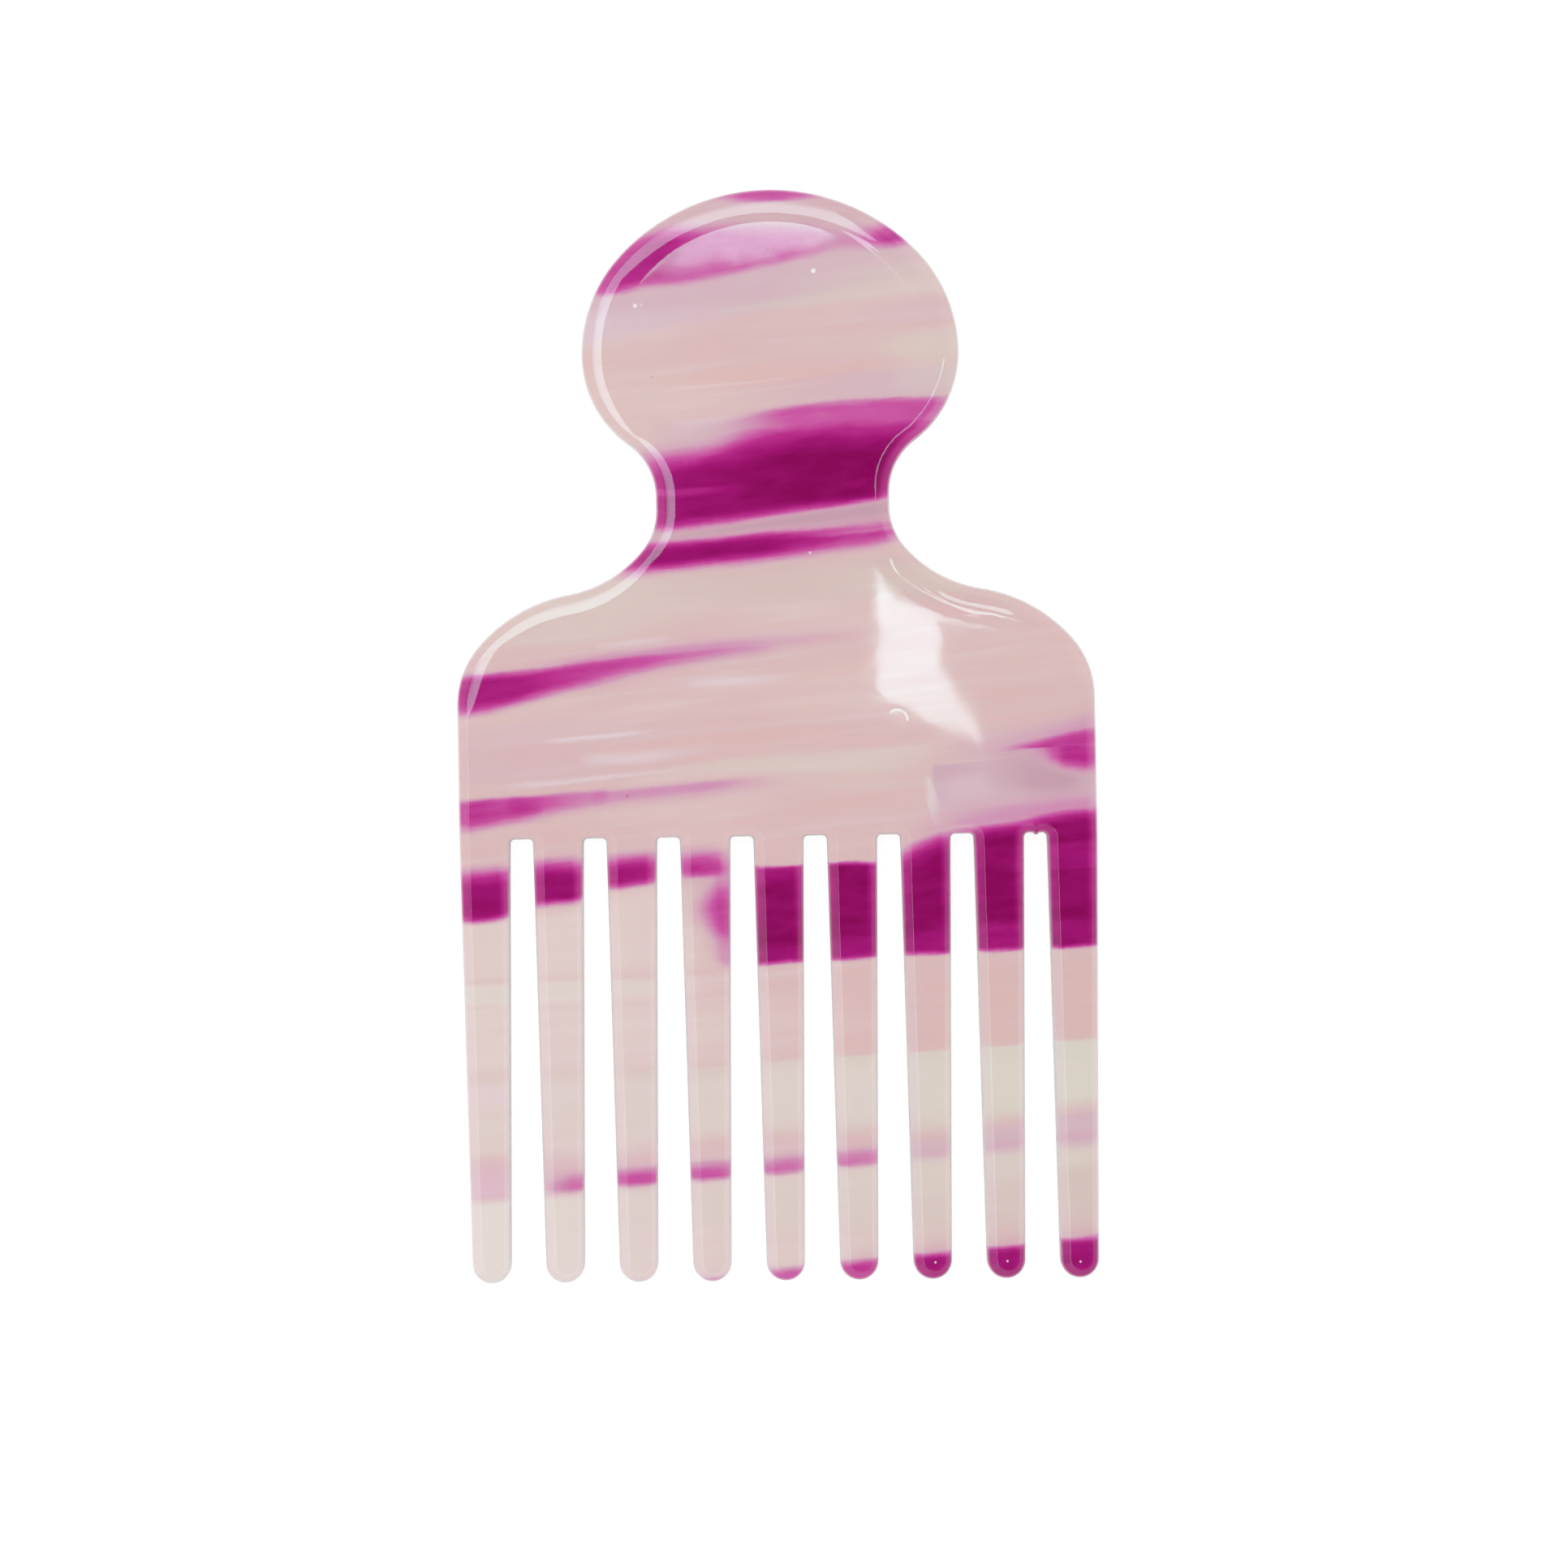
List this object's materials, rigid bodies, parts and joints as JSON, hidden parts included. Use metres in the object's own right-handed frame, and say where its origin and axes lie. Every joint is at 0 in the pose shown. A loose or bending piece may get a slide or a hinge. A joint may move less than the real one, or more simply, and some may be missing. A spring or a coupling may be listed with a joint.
{
  "type": "wide-tooth comb",
  "caption": "Flat wide-tooth comb cut from pearly pink acetate sheet, with an oval head as its handle, a narrow waist, round shoulders and a row of long tapered teeth.",
  "frame": {"origin": "on the underside, on the line of symmetry and halfway along the length", "axes": "+Y towards the head, +X to the right seen from above with the head up, +Z through the sheet and up"},
  "size_m": [0.07, 0.12, 0.004],
  "materials": {
    "pearl_acetate": "polished cellulose acetate, pearly pale pink and cream with deep magenta streaks through the sheet"
  },
  "bodies": {
    "root": {"head": "pearl_acetate", "neck": "pearl_acetate", "back": "pearl_acetate", "tooth_1": "pearl_acetate", "tooth_2": "pearl_acetate", "tooth_3": "pearl_acetate", "tooth_4": "pearl_acetate", "tooth_5": "pearl_acetate", "tooth_6": "pearl_acetate", "tooth_7": "pearl_acetate", "tooth_8": "pearl_acetate", "tooth_9": "pearl_acetate"}
  },
  "joints": []
}
